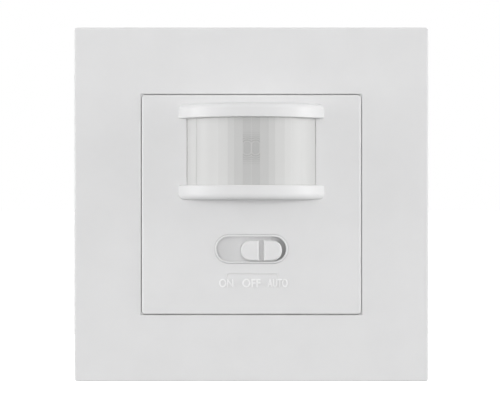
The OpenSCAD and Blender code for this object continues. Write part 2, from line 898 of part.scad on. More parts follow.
module sensor_board() {
    color(board_green) on_wall() translate([0, 0, board_back]) difference() {
        linear_extrude(board_t) rounded_square(board_w, board_w, board_corner_r);
        for (p = posts) board_hole(p, case_hole_d);
        for (p = pir_leads) board_hole(p, pir_lead_d + 2 * pin_gap);
        for (p = photo_leads) board_hole(p, pir_lead_d + 2 * pin_gap);
        for (p = switch_pins) board_hole(p, switch_pin_d + 2 * pin_gap);
        for (p = header_points) board_hole(p, header_hole_d);
    }
}

module pir_base() {
    color(steel) on_wall() {
        translate([0, head_y, board_front]) cylinder(h = pir_flange_t, d = pir_flange_d);
        for (p = pir_leads)
            translate([p[0], p[1], board_back - lead_tail])
                cylinder(h = board_t + lead_tail + bite, d = pir_lead_d);
    }
}

module pir_can() {
    foot = board_front + pir_flange_t;
    top = board_front + pir_h;
    color(steel) on_wall() translate([0, head_y, foot]) difference() {
        rotate_extrude() difference() {
            edge_section(pir_can_d / 2, top - foot, pir_can_edge_r);
            translate([0, -cut]) square([pir_can_d / 2 - pir_can_t, top - foot - pir_can_t + cut]);
        }
        translate([-pir_opening[0] / 2, -pir_opening[1] / 2, 0])
            cube([pir_opening[0], pir_opening[1], top - foot + cut]);
    }
}

module pir_window() {
    size = pir_window_size;
    top = board_front + pir_h - pir_can_t;
    color(black) on_wall()
        translate([-size[0] / 2, head_y - size[1] / 2, top - size[2]]) cube(size);
}

module light_sensor() {
    dome_r = photo_d / 2;
    color([0.75, 0.78, 0.8]) on_wall() {
        translate([photo_x, head_y, board_front]) {
            cylinder(h = photo_flange_t, d = photo_flange_d);
            cylinder(h = photo_h - dome_r, r = dome_r);
            translate([0, 0, photo_h - dome_r]) sphere(dome_r);
        }
        for (p = photo_leads)
            translate([p[0], p[1], board_back - lead_tail])
                cylinder(h = board_t + lead_tail + bite, d = pir_lead_d);
    }
}

module switch_base() {
    l = switch_l - 2 * switch_wall - 2 * slide_gap;
    w = switch_w - 2 * switch_wall - 2 * slide_gap;
    color(black) on_wall() {
        translate([-l / 2, slot_y - w / 2, board_front]) cube([l, w, switch_base_t]);
        for (p = switch_pins)
            translate([p[0], p[1], board_back - lead_tail])
                cylinder(h = board_t + lead_tail + bite, d = switch_pin_d);
    }
}

module switch_shell() {
    l = switch_l - 2 * switch_wall;
    w = switch_w - 2 * switch_wall;
    window_l = lever_l + 2 * knob_step + 2 * fit_gap;
    window_w = lever_w + 2 * fit_gap;
    color(steel) on_wall() translate([0, slot_y, board_front]) difference() {
        linear_extrude(switch_h) rounded_square(switch_l, switch_w, switch_wall);
        translate([-l / 2, -w / 2, -cut]) cube([l, w, switch_h - switch_wall + cut]);
        translate([-window_l / 2, -window_w / 2, 0]) cube([window_l, window_w, switch_h + cut]);
    }
}

module switch_lever() {
    w = switch_w - 2 * switch_wall - 4 * slide_gap;
    color(black) on_wall() translate([knob_x, slot_y, 0]) {
        translate([-carriage_l / 2, -w / 2, carriage_top - carriage_h])
            cube([carriage_l, w, carriage_h]);
        translate([-lever_l / 2, -lever_w / 2, carriage_top - bite])
            cube([lever_l, lever_w, lever_top - carriage_top + bite]);
    }
}

// Sliding contact under the lever's carriage: a strip with a springy arch on each row of pads
module contact_bridge() {
    strip_t = bridge_h / 2;
    arch_r = bridge_h - strip_t;
    color(brass) on_wall()
        translate([knob_x, slot_y, carriage_top - carriage_h]) {
            translate([-carriage_l / 2, -switch_row_pitch / 2 - bridge_margin, -strip_t])
                cube([carriage_l, switch_row_pitch + 2 * bridge_margin, strip_t]);
            for (x = [-switch_pin_pitch / 2, switch_pin_pitch / 2], s = [-0.5, 0.5])
                translate([x, s * switch_row_pitch, -strip_t]) rotate([90, 0, 0])
                    cylinder(h = bridge_finger_w, r = arch_r, center = true);
        }
}

module control_chip() {
    row_y = chip_size[1] / 2 + chip_leg_size[1] / 2 - chip_leg_root;
    color(black) on_wall() translate([0, chip_y, board_front]) {
        translate([-chip_size[0] / 2, -chip_size[1] / 2, chip_lift])
            cube([chip_size[0], chip_size[1], chip_size[2] - chip_lift]);
        for (i = [0 : chip_legs - 1], s = [-1, 1])
            translate([
                (i - (chip_legs - 1) / 2) * chip_leg_pitch - chip_leg_size[0] / 2,
                s * row_y - chip_leg_size[1] / 2,
                0
            ]) cube(chip_leg_size);
    }
}

module board_header() {
    pin_top = board_front + lead_tail;
    pin_bottom = power_back - lead_tail;
    color(black) on_wall() {
        translate([header_x - header_strip[0] / 2, header_y - header_l / 2, power_front])
            cube([header_strip[0], header_l, header_strip[1]]);
        for (p = header_points)
            translate([p[0] - header_pin_w / 2, p[1] - header_pin_w / 2, pin_bottom])
                cube([header_pin_w, header_pin_w, pin_top - pin_bottom]);
    }
}

module power_board() {
    color(board_green) on_wall() translate([0, 0, power_back]) difference() {
        linear_extrude(board_t) rounded_square(board_w, board_w, board_corner_r);
        for (p = posts) board_hole(p, 2 * post_notch_r);
        for (p = header_points) board_hole(p, header_hole_d);
        for (x = terminal_xs)
            translate([x - clamp_tail_hole[0] / 2, clamp_y - clamp_tail_hole[1] / 2, -cut])
                cube([clamp_tail_hole[0], clamp_tail_hole[1], board_t + 2 * cut]);
    }
}

module relay() {
    color([0.12, 0.25, 0.5]) on_wall()
        translate([relay_at[0], relay_at[1], power_front])
            linear_extrude(relay_h) rounded_square(relay_size[0], relay_size[1], case_corner_r);
}

module film_capacitor() {
    color([0.75, 0.62, 0.15]) on_wall()
        translate([film_at[0], film_at[1], power_front])
            linear_extrude(film_size[2]) rounded_square(film_size[0], film_size[1], case_corner_r);
}

module smoothing_capacitor() {
    color([0.1, 0.12, 0.2]) on_wall() translate([smoothing_at[0], smoothing_at[1], power_front])
        difference() {
            cylinder(h = smoothing_h, d = smoothing_d);
            for (a = [0, 90])
                rotate([0, 0, a])
                    translate([-smoothing_d / 2 + sleeve_rim, -vent_groove / 2, smoothing_h - vent_groove])
                        cube([smoothing_d - 2 * sleeve_rim, vent_groove, vent_groove + cut]);
        }
}

module varistor() {
    color([0.1, 0.3, 0.6]) on_wall() translate([varistor_at[0], varistor_at[1], power_front]) {
        translate([0, 0, varistor_lift + varistor_d / 2]) rotate([90, 0, 0])
            cylinder(h = varistor_t, d = varistor_d, center = true);
        for (s = [-1, 1])
            translate([s * varistor_lead_pitch / 2, s * varistor_lead_offset, 0])
                cylinder(h = varistor_lead_l, d = varistor_lead_d);
    }
}

module fuse_resistor() {
    color([0.55, 0.7, 0.75]) on_wall() translate([fuse_at[0], fuse_at[1], power_front]) {
        translate([0, 0, fuse_d / 2]) rotate([0, 90, 0]) {
            cylinder(h = fuse_l, d = fuse_waist_d, center = true);
            for (s = [-1, 1])
                translate([0, 0, s * (fuse_l - fuse_cap_l) / 2])
                    cylinder(h = fuse_cap_l, d = fuse_d, center = true);
            cylinder(h = fuse_l + 2 * fuse_lead_l, d = fuse_lead_d, center = true);
        }
        for (s = [-1, 1])
            translate([s * (fuse_l / 2 + fuse_lead_l), 0, 0])
                cylinder(h = fuse_d / 2 + fuse_lead_d / 2, d = fuse_lead_d);
    }
}

module bridge_rectifier() {
    color(black) on_wall()
        translate([bridge_at[0], bridge_at[1], power_front])
            linear_extrude(bridge_size[2]) rounded_square(bridge_size[0], bridge_size[1], case_corner_r);
}

module terminal_block() {
    pocket_w = clamp_w + 2 * clamp_gap;
    pocket_bottom = terminal_bottom + terminal_entry_t;
    color([0.8, 0.8, 0.78]) on_wall() difference() {
        intersection() {
            translate([-terminal_half_w, terminal_bottom, housing_back])
                cube([2 * terminal_half_w, terminal_d, terminal_h]);
            housing_body();
        }
        for (x = terminal_xs) {
            translate([x - pocket_w / 2, pocket_bottom, clamp_z - pocket_w / 2])
                cube([pocket_w, terminal_d, pocket_w]);
            translate([x, terminal_bottom - cut, clamp_z]) rotate([-90, 0, 0])
                cylinder(h = terminal_entry_t + 2 * cut, d = wire_d);
            translate([x, terminal_bottom, clamp_z]) rotate([-90, 0, 0])
                cylinder(h = terminal_funnel, d1 = wire_d + 2 * terminal_funnel, d2 = wire_d);
            translate([x, clamp_y, housing_back - cut])
                cylinder(h = terminal_seat - housing_back + cut, d = terminal_well_d);
            translate([x, clamp_y, housing_back])
                cylinder(h = clamp_z - housing_back, d = terminal_shank_d + 2 * fit_gap);
            translate([x - clamp_tail_hole[0] / 2, clamp_y - clamp_tail_hole[1] / 2, clamp_z])
                cube([clamp_tail_hole[0], clamp_tail_hole[1], power_back - clamp_z + cut]);
        }
    }
}

// One brass cage: a square tube along y that the screw's tip reaches into, with a solder tail
module terminal_clamp() {
    inner_w = clamp_w - 2 * clamp_wall;
    difference() {
        union() {
            cube([clamp_w, clamp_l, clamp_w], center = true);
            translate([-clamp_tail[0] / 2, -clamp_tail[1] / 2, clamp_w / 2 - bite])
                cube([clamp_tail[0], clamp_tail[1], power_front + lead_tail - clamp_z - clamp_w / 2 + bite]);
        }
        cube([inner_w, clamp_l + cut, inner_w], center = true);
        translate([0, 0, -clamp_w])
            cylinder(h = clamp_w, d = terminal_shank_d + 2 * thread_gap);
    }
}

module terminal_clamps() {
    color(brass) on_wall()
        for (x = terminal_xs) translate([x, clamp_y, clamp_z]) terminal_clamp();
}

module terminal_screws() {
    color(steel) on_wall()
        for (x = terminal_xs)
            translate([x, clamp_y, terminal_seat])
                screw(terminal_head_d, terminal_head_h, terminal_shank_d, terminal_shank_l);
}

// Base of an adjuster on the back of the power board, with a round well for its rotor
module trimmer() {
    translate([0, adjuster_y, power_back - trimmer_h]) difference() {
        translate([-trimmer_w / 2, -trimmer_w / 2, 0]) cube([trimmer_w, trimmer_w, trimmer_h]);
        translate([0, 0, -cut]) cylinder(h = trimmer_well + cut, d = rotor_d + 2 * rotor_gap);
    }
}

// Turning part of an adjuster, with a screwdriver slot and a pointer notch on its back end
module rotor() {
    back = housing_back - rotor_proud;
    translate([0, adjuster_y, back]) difference() {
        union() {
            cylinder(h = rotor_chamfer, d1 = rotor_d - 2 * rotor_chamfer, d2 = rotor_d);
            translate([0, 0, rotor_chamfer])
                cylinder(h = rotor_tail - back - rotor_chamfer, d = rotor_d);
        }
        translate([-rotor_slot_l / 2, -rotor_slot_w / 2, -cut])
            cube([rotor_slot_l, rotor_slot_w, rotor_slot_depth + cut]);
        translate([rotor_d / 2, 0, -cut]) rotate([0, 0, 45])
            translate([-rotor_slot_w / 2, -rotor_slot_w / 2, 0])
                cube([rotor_slot_w, rotor_slot_w, pointer_depth + cut]);
    }
}

module time_trimmer() {
    color([0.2, 0.3, 0.6]) on_wall() translate([-adjuster_x, 0, 0]) trimmer();
}

module time_rotor() {
    color([0.95, 0.6, 0.2]) on_wall() translate([-adjuster_x, 0, 0]) rotor();
}

module lux_trimmer() {
    color([0.2, 0.3, 0.6]) on_wall() translate([adjuster_x, 0, 0]) trimmer();
}

module lux_rotor() {
    color([0.95, 0.6, 0.2]) on_wall() translate([adjuster_x, 0, 0]) rotor();
}

outer_frame();
centre_plate();
slider_knob();
fresnel_lens();
light_shroud();
support_plate();
support_screws();
rear_housing();
housing_screws();
sensor_board();
pir_base();
pir_can();
pir_window();
light_sensor();
switch_base();
switch_shell();
switch_lever();
contact_bridge();
control_chip();
board_header();
power_board();
relay();
film_capacitor();
smoothing_capacitor();
varistor();
fuse_resistor();
bridge_rectifier();
terminal_block();
terminal_clamps();
terminal_screws();
time_trimmer();
time_rotor();
lux_trimmer();
lux_rotor();
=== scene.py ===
"""Looks of the motion sensor light switch: materials, the strip lens, the raised words, light and camera."""
import json
import math

import bpy
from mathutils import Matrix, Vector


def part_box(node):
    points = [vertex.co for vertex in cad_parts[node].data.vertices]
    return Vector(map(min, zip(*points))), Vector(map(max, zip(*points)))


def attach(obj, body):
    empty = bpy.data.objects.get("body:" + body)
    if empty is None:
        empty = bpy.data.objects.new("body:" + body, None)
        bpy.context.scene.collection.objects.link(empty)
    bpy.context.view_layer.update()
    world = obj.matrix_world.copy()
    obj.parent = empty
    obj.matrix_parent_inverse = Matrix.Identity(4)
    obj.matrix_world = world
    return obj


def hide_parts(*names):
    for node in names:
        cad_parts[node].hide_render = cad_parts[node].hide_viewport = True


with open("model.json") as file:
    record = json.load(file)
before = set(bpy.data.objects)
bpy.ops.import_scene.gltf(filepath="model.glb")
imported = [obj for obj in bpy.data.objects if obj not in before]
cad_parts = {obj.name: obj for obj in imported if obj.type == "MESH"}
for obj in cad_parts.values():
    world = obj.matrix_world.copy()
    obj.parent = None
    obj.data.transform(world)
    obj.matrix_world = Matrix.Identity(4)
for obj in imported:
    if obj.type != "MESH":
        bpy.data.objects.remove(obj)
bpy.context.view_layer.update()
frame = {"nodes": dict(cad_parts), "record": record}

MM = 0.001
ROOT = "switch_body"

# Sizes of the part that the pieces made here sit on, in millimetres and degrees
PLATE_FRONT = 9.9
LENS_R = 18.8
LENS_T = 0.7
LENS_AXIS_Y = 0.7
LENS_MIDDLE = 12.75
LENS_FULL_H = 18.2
LENS_END_ANGLE = 61.6


# Node helpers

def new_material(name):
    """A material with an empty Principled shader, and the object's own coordinates in metres."""
    mat = bpy.data.materials.new(name)
    mat.use_nodes = True
    tree = mat.node_tree
    tree.nodes.clear()
    out = tree.nodes.new("ShaderNodeOutputMaterial")
    shader = tree.nodes.new("ShaderNodeBsdfPrincipled")
    tree.links.new(shader.outputs["BSDF"], out.inputs["Surface"])
    place = tree.nodes.new("ShaderNodeTexCoord").outputs["Object"]
    return mat, tree, shader, place


def stretched(tree, place, scale):
    node = tree.nodes.new("ShaderNodeMapping")
    node.inputs["Scale"].default_value = scale
    tree.links.new(place, node.inputs["Vector"])
    return node.outputs["Vector"]


def parted(tree, place):
    """The three coordinates of a place."""
    node = tree.nodes.new("ShaderNodeSeparateXYZ")
    tree.links.new(place, node.inputs[0])
    return node.outputs["X"], node.outputs["Y"], node.outputs["Z"]


def noise(tree, place, size_mm, detail=2.0, roughness=0.5):
    """Noise whose features are about size_mm across."""
    node = tree.nodes.new("ShaderNodeTexNoise")
    node.inputs["Scale"].default_value = 1.0 / (size_mm * MM)
    node.inputs["Detail"].default_value = detail
    node.inputs["Roughness"].default_value = roughness
    tree.links.new(place, node.inputs["Vector"])
    return node.outputs["Fac"]


def flakes(tree, place, size_mm):
    """Two random values for each crystal flake of about size_mm."""
    node = tree.nodes.new("ShaderNodeTexVoronoi")
    node.inputs["Scale"].default_value = 1.0 / (size_mm * MM)
    tree.links.new(place, node.inputs["Vector"])
    split = tree.nodes.new("ShaderNodeSeparateColor")
    tree.links.new(node.outputs["Color"], split.inputs["Color"])
    return split.outputs[0], split.outputs[1]


def spread(tree, value, low, high, start=0.3, end=0.7):
    """Maps a value from start..end to low..high."""
    node = tree.nodes.new("ShaderNodeMapRange")
    node.inputs["From Min"].default_value = start
    node.inputs["From Max"].default_value = end
    node.inputs["To Min"].default_value = low
    node.inputs["To Max"].default_value = high
    tree.links.new(value, node.inputs["Value"])
    return node.outputs["Result"]


def maths(tree, operation, a, b=0.0):
    """A Math node; a and b are numbers or sockets, and operations on one value leave b out."""
    node = tree.nodes.new("ShaderNodeMath")
    node.operation = operation
    for socket, value in zip(node.inputs, (a, b)):
        if isinstance(value, (int, float)):
            socket.default_value = value
        else:
            tree.links.new(value, socket)
    return node.outputs["Value"]


def blend(tree, factor, a, b):
    """Mixes two colours, each given as numbers or as a socket."""
    node = tree.nodes.new("ShaderNodeMix")
    node.data_type = "RGBA"
    tree.links.new(factor, node.inputs[0])
    for socket, value in ((node.inputs[6], a), (node.inputs[7], b)):
        if isinstance(value, (tuple, list)):
            socket.default_value = (*value[:3], 1.0)
        else:
            tree.links.new(value, socket)
    return node.outputs[2]


def times(colour, factor):
    return tuple(min(1.0, c * factor) for c in colour)


def relief(tree, height, depth_mm, strength=1.0, under=None):
    node = tree.nodes.new("ShaderNodeBump")
    node.inputs["Strength"].default_value = strength
    node.inputs["Distance"].default_value = depth_mm * MM
    tree.links.new(height, node.inputs["Height"])
    if under is not None:
        tree.links.new(under, node.inputs["Normal"])
    return node.outputs["Normal"]


def soft_edges(tree, radius_mm):
    """A normal that rounds sharp edges, or nothing where the radius is 0."""
    if not radius_mm:
        return None
    node = tree.nodes.new("ShaderNodeBevel")
    node.samples = EDGE_SAMPLES
    node.inputs["Radius"].default_value = radius_mm * MM
    return node.outputs["Normal"]


def set_surface(tree, shader, colour, rough, normal):
    """Links what varies over a surface to its shader."""
    tree.links.new(colour, shader.inputs["Base Color"])
    tree.links.new(rough, shader.inputs["Roughness"])
    tree.links.new(normal, shader.inputs["Normal"])


# Materials

PLASTIC_IOR = 1.5
RESIN_IOR = 1.53
EDGE_SAMPLES = 4
# Depth in millimetres to which light scatters in plastic, and how much of it does so in the covers
SCATTER_DEPTH = 0.5
COVER_SCATTER = 0.4
# Darkest tone that painted shade gives a recess, as a share of the plastic's own
PAINTED_SHADE_TONE = 0.3
# Half the play that fine grain adds to a plastic's roughness
GRAIN_GLOSS = 0.03


def moulded(name, colour, rough, grain_mm, grain_depth, blotch, edge_mm=0.0, coat=0.0, shine=0.5,
            scatter=0.0, darker=None):
    """Moulded plastic: spark-eroded grain, faint flow clouds and uneven gloss, and painted shade where told.
    """
    mat, tree, shader, place = new_material(name)
    clouds = noise(tree, place, size_mm=9, detail=3)
    fine = noise(tree, place, grain_mm, detail=2, roughness=0.6)
    handled = noise(tree, place, size_mm=2.6, detail=4, roughness=0.65)
    cloudy = blend(tree, spread(tree, clouds, 0, 1), times(colour, 1 - blotch), times(colour, 1 + blotch))
    specks = spread(tree, fine, 0, 0.5, start=0.62, end=0.8)
    tone = blend(tree, specks, cloudy, times(colour, 1 - 3 * blotch))
    if darker is not None:
        tone = blend(tree, darker(tree, place), tone, times(colour, PAINTED_SHADE_TONE))
    gloss = maths(tree, "ADD", spread(tree, handled, *rough), spread(tree, fine, -GRAIN_GLOSS, GRAIN_GLOSS))
    grain = relief(tree, fine, grain_depth, strength=0.8, under=soft_edges(tree, edge_mm))
    set_surface(tree, shader, tone, gloss, grain)
    shader.inputs["IOR"].default_value = PLASTIC_IOR
    shader.inputs["Specular IOR Level"].default_value = shine
    shader.inputs["Coat Weight"].default_value = coat
    shader.inputs["Subsurface Weight"].default_value = scatter
    shader.inputs["Subsurface Radius"].default_value = (1.0, 1.0, 1.0)
    shader.inputs["Subsurface Scale"].default_value = SCATTER_DEPTH * MM
    return mat


# Share of the flakes in a metal's mottled tone, and what they add to its roughness at most
FLAKE_SHARE = 0.6
FLAKE_GLOSS = 0.08


def plated(name, colour, rough, spangle_mm, spangle, lines, line_mm, edge_mm=0.0):
    """Plated or drawn metal: crystal patches and fine drawing lines."""
    mat, tree, shader, place = new_material(name)
    drawn = noise(tree, stretched(tree, place, lines), line_mm, detail=3, roughness=0.6)
    patch = noise(tree, place, spangle_mm, detail=2)
    flake_tone, flake_gloss = flakes(tree, place, spangle_mm)
    flaky = maths(tree, "MULTIPLY", flake_tone, FLAKE_SHARE)
    mottled = maths(tree, "ADD", flaky, maths(tree, "MULTIPLY", patch, 1 - FLAKE_SHARE))
    tone = blend(tree, mottled, times(colour, 1 - spangle), times(colour, 1 + spangle))
    dull = maths(tree, "ADD", spread(tree, drawn, *rough), maths(tree, "MULTIPLY", flake_gloss, FLAKE_GLOSS))
    lined = relief(tree, drawn, depth_mm=0.004, strength=0.6, under=soft_edges(tree, edge_mm))
    set_surface(tree, shader, tone, dull, lined)
    shader.inputs["Metallic"].default_value = 1.0
    return mat


# Tracks of the boards: pitch in millimetres, width and blur as the pattern's own shares, and colour
TRACK_PITCH = 3.0
TRACK_WIDTH = 0.07
TRACK_BLUR = 0.1
TRACK_GREEN = (0.07, 0.27, 0.09)
# Height of the laminate's weave, as a share of the tracks' height
WEAVE_SHARE = 0.2


def circuit_board(name, colour):
    """Solder mask over copper tracks, with the laminate's weave under it."""
    mat, tree, shader, place = new_material(name)
    turned = tree.nodes.new("ShaderNodeMapping")
    turned.inputs["Rotation"].default_value = (math.pi / 2, 0, 0)
    tree.links.new(place, turned.inputs["Vector"])
    steps = tree.nodes.new("ShaderNodeTexBrick")
    steps.inputs["Scale"].default_value = 1.0 / (TRACK_PITCH * MM)
    steps.inputs["Mortar Size"].default_value = TRACK_WIDTH
    steps.inputs["Mortar Smooth"].default_value = TRACK_BLUR
    tree.links.new(turned.outputs["Vector"], steps.inputs["Vector"])
    weave = noise(tree, place, size_mm=0.3, detail=2)
    islands = spread(tree, noise(tree, place, size_mm=6, detail=1), 0, 1, start=0.45, end=0.5)
    tracks = maths(tree, "MULTIPLY", steps.outputs["Fac"], islands)
    mask = blend(tree, spread(tree, weave, 0, 1), times(colour, 0.85), times(colour, 1.15))
    raised = maths(tree, "ADD", tracks, maths(tree, "MULTIPLY", weave, WEAVE_SHARE))
    set_surface(
        tree, shader, blend(tree, tracks, mask, TRACK_GREEN), spread(tree, weave, 0.28, 0.4),
        relief(tree, raised, depth_mm=0.03),
    )
    return mat


def clear_resin(name, colour):
    """Clear resin of a small sensor, with a faint haze."""
    mat, tree, shader, place = new_material(name)
    haze = noise(tree, place, size_mm=0.8, detail=3)
    set_surface(
        tree, shader, blend(tree, spread(tree, haze, 0, 1), colour, times(colour, 1.15)),
        spread(tree, haze, 0.05, 0.16), relief(tree, haze, depth_mm=0.004, strength=0.4),
    )
    shader.inputs["Transmission Weight"].default_value = 0.7
    shader.inputs["IOR"].default_value = RESIN_IOR
    return mat


COATING_PURPLE = (0.06, 0.035, 0.09)


def polished_filter(name, colour):
    """Dark silicon window with a thin purple coating and faint wipe marks."""
    mat, tree, shader, place = new_material(name)
    haze = noise(tree, place, size_mm=1.6, detail=3)
    set_surface(
        tree, shader, blend(tree, spread(tree, haze, 0, 1), colour, COATING_PURPLE),
        spread(tree, haze, 0.04, 0.12), relief(tree, haze, depth_mm=0.002, strength=0.3),
    )
    shader.inputs["Coat Weight"].default_value = 1.0
    return mat


MILK_WHITE = (1.0, 1.0, 0.99)
MILK_CLOUD = (0.7, 0.71, 0.71)


def milky_lens(name):
    """Milky lens sheet: each strip's milkiness, with painted shade and light in it, comes from the mesh;
    clouds and moulding grain lie on top.
    """
    mat, tree, shader, place = new_material(name)
    strips = tree.nodes.new("ShaderNodeAttribute")
    strips.attribute_name = "milk_and_painted_light"
    clouds = noise(tree, place, size_mm=5, detail=3)
    fine = noise(tree, stretched(tree, place, (1, 1, 0.25)), size_mm=0.12, detail=2)
    milk_and_painted_light = blend(tree, strips.outputs["Fac"], (0, 0, 0), MILK_WHITE)
    uneven = blend(tree, spread(tree, clouds, 0, 0.01), milk_and_painted_light, MILK_CLOUD)
    gloss = maths(tree, "ADD", spread(tree, clouds, 0.36, 0.4), spread(tree, fine, -GRAIN_GLOSS, GRAIN_GLOSS))
    set_surface(tree, shader, uneven, gloss, relief(tree, fine, depth_mm=0.003, strength=0.6))
    shader.inputs["IOR"].default_value = PLASTIC_IOR
    return mat


COLOURS = {m["slot"]: tuple(m["base_color"]) for m in frame["record"]["materials"]}
# The covers are a neutral white, a trace cooler than their slot says
COLOURS["cover_plastic"] = (0.742, 0.742, 0.745)

# Finishes by slot: rough is the range of roughness, and sizes, depths and edges are in millimetres
COVER = dict(
    rough=(0.36, 0.43), grain_mm=0.16, grain_depth=0.003, blotch=0.012, edge_mm=0.12, shine=0.38,
    scatter=COVER_SCATTER,
)
LETTERING = dict(rough=(0.3, 0.4), grain_mm=0.16, grain_depth=0.002, blotch=0.01, scatter=COVER_SCATTER)
MOULDED = {
    "cover_plastic": COVER,
    "housing_plastic": dict(rough=(0.46, 0.62), grain_mm=0.3, grain_depth=0.03, blotch=0.035, edge_mm=0.15),
    "terminal_plastic": dict(rough=(0.4, 0.55), grain_mm=0.25, grain_depth=0.02, blotch=0.03, edge_mm=0.12),
    "black_plastic": dict(rough=(0.42, 0.6), grain_mm=0.2, grain_depth=0.01, blotch=0.2),
    "relay_case": dict(rough=(0.32, 0.46), grain_mm=0.2, grain_depth=0.006, blotch=0.12),
    "trimmer_case": dict(rough=(0.34, 0.5), grain_mm=0.2, grain_depth=0.008, blotch=0.12),
    "rotor_plastic": dict(rough=(0.32, 0.46), grain_mm=0.16, grain_depth=0.006, blotch=0.05, edge_mm=0.1),
    "capacitor_case": dict(rough=(0.2, 0.34), grain_mm=0.3, grain_depth=0.006, blotch=0.08, edge_mm=0.2),
    "capacitor_sleeve": dict(rough=(0.18, 0.3), grain_mm=0.5, grain_depth=0.01, blotch=0.2, coat=0.4),
    "varistor_coat": dict(rough=(0.16, 0.32), grain_mm=0.7, grain_depth=0.03, blotch=0.15, coat=0.5),
    "resistor_coat": dict(rough=(0.3, 0.5), grain_mm=0.35, grain_depth=0.02, blotch=0.08),
}
PLATED = {
    "zinc_steel": dict(
        rough=(0.3, 0.44), spangle_mm=3.2, spangle=0.12, lines=(1, 1, 12), line_mm=1.4, edge_mm=0.1
    ),
    "screw_steel": dict(
        rough=(0.24, 0.38), spangle_mm=1.2, spangle=0.08, lines=(6, 1, 6), line_mm=0.5, edge_mm=0.06
    ),
    "can_steel": dict(rough=(0.2, 0.32), spangle_mm=1.6, spangle=0.06, lines=(1, 8, 1), line_mm=0.4),
    "contact_brass": dict(rough=(0.24, 0.4), spangle_mm=1.1, spangle=0.1, lines=(8, 1, 1), line_mm=0.4),
}


def slot_material(slot):
    colour = COLOURS[slot]
    if slot in MOULDED:
        return moulded(slot, colour, **MOULDED[slot])
    if slot in PLATED:
        return plated(slot, colour, **PLATED[slot])
    if slot == "board_laminate":
        return circuit_board(slot, colour)
    if slot == "sensor_resin":
        return clear_resin(slot, colour)
    if slot == "filter_window":
        return polished_filter(slot, colour)
    return milky_lens(slot)


# A darker tone that stands for the shade in the slider's recesses, as far as light alone doesn't give it.
# Each pair is a range in millimetres over which the tone changes: levels are in front of the wall,
# and what is aside is counted from the slider's middle.
GROOVE_ASIDE = (0.48, 0.55)
GROOVE_TOP = (10.5, 10.65)
GROOVE_FOOT = (9.6, 9.7)
FLOOR_ASIDE = (-10.8, -5.0)
FLOOR_TOP = (8.62, 8.7)
STEP_LEVEL = (7.95, 8.55)
STEP_ASIDE = (3.0, 4.7)
STEP_FADE = (6.0, 8.0)
# How strong the tone is in each place, and what is left of it where the step's has faded
GROOVE_DARK = 0.2
FLOOR_DARK = 0.2
STEP_DARK = 0.45
STEP_REST = 0.3


def slider_painted_shade(tree, place):
    """How much painted shade darkens the slider: in the knob's groove, at the slot's far end and low on the
    skirt's step.
    """
    low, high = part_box("slider_knob")
    x, y, _ = parted(tree, place)
    aside = maths(tree, "SUBTRACT", maths(tree, "MULTIPLY", x, 1 / MM), (low[0] + high[0]) / 2 / MM)
    level = maths(tree, "MULTIPLY", y, -1 / MM)
    near = spread(tree, maths(tree, "ABSOLUTE", aside), GROOVE_DARK, 0, *GROOVE_ASIDE)
    sunk = spread(tree, level, 1, 0, *GROOVE_TOP)
    above = spread(tree, level, 0, 1, *GROOVE_FOOT)
    groove = maths(tree, "MULTIPLY", near, maths(tree, "MULTIPLY", sunk, above))
    far = spread(tree, aside, FLOOR_DARK, 0, *FLOOR_ASIDE)
    behind = spread(tree, level, 1, 0, *FLOOR_TOP)
    floor = maths(tree, "MULTIPLY", far, behind)
    deep = spread(tree, level, STEP_DARK, 0, *STEP_LEVEL)
    beside = spread(tree, aside, 0, 1, *STEP_ASIDE)
    fading = spread(tree, aside, 1, STEP_REST, *STEP_FADE)
    step = maths(tree, "MULTIPLY", deep, maths(tree, "MULTIPLY", beside, fading))
    return maths(tree, "MAXIMUM", maths(tree, "MAXIMUM", groove, floor), step)


# Foot of the rim round the slot, in millimetres, and the same painted shade along it
SLOT_HEIGHT = -10.8
RIM_HALF_L = 5.4
RIM_R = 3.5
RIM_LINE = 0.16
RIM_DARK = 0.3


def rim_painted_shade(tree, place):
    """How much painted shade darkens the plate: in a thin line along the foot of the rim round the slot."""
    x, _, z = parted(tree, place)
    past = maths(tree, "SUBTRACT", maths(tree, "MULTIPLY", maths(tree, "ABSOLUTE", x), 1 / MM), RIM_HALF_L)
    past = maths(tree, "MAXIMUM", past, 0)
    rise = maths(tree, "SUBTRACT", maths(tree, "MULTIPLY", z, 1 / MM), SLOT_HEIGHT)
    square = maths(tree, "ADD", maths(tree, "MULTIPLY", past, past), maths(tree, "MULTIPLY", rise, rise))
    off = maths(tree, "SUBTRACT", maths(tree, "SQRT", square), RIM_R)
    return spread(tree, maths(tree, "ABSOLUTE", off), RIM_DARK, 0, RIM_LINE / 2, RIM_LINE)


# The words are the plate's plastic made this much lighter, as painted light for the highlights on their edges
WORD_PAINTED_LIGHT = 1.21

MATERIALS = {slot: slot_material(slot) for slot in COLOURS}
# The slider and the plate take the covers' plastic with painted shade in their recesses
SLIDER_SHADED_PLASTIC = moulded("slider_plastic_painted_shade", COLOURS["cover_plastic"], darker=slider_painted_shade, **COVER)
PLATE_SHADED_PLASTIC = moulded("plate_plastic_painted_shade", COLOURS["cover_plastic"], darker=rim_painted_shade, **COVER)
WORD_LIT_PLASTIC = moulded("raised_lettering", times(COLOURS["cover_plastic"], WORD_PAINTED_LIGHT), **LETTERING)


def dress(obj, mat):
    obj.data.materials.clear()
    obj.data.materials.append(mat)


for part in frame["record"]["subparts"]:
    dress(frame["nodes"][part["node"]], MATERIALS[part["material_slot"]])
dress(frame["nodes"]["slider_knob"], SLIDER_SHADED_PLASTIC)
dress(frame["nodes"]["centre_plate"], PLATE_SHADED_PLASTIC)


# Pieces

def add_piece(name, mesh, mat):
    """Puts a mesh in the scene as a piece that rides on the switch's body."""
    obj = bpy.data.objects.new(name, mesh)
    bpy.context.scene.collection.objects.link(obj)
    dress(obj, mat)
    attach(obj, ROOT)
    return obj


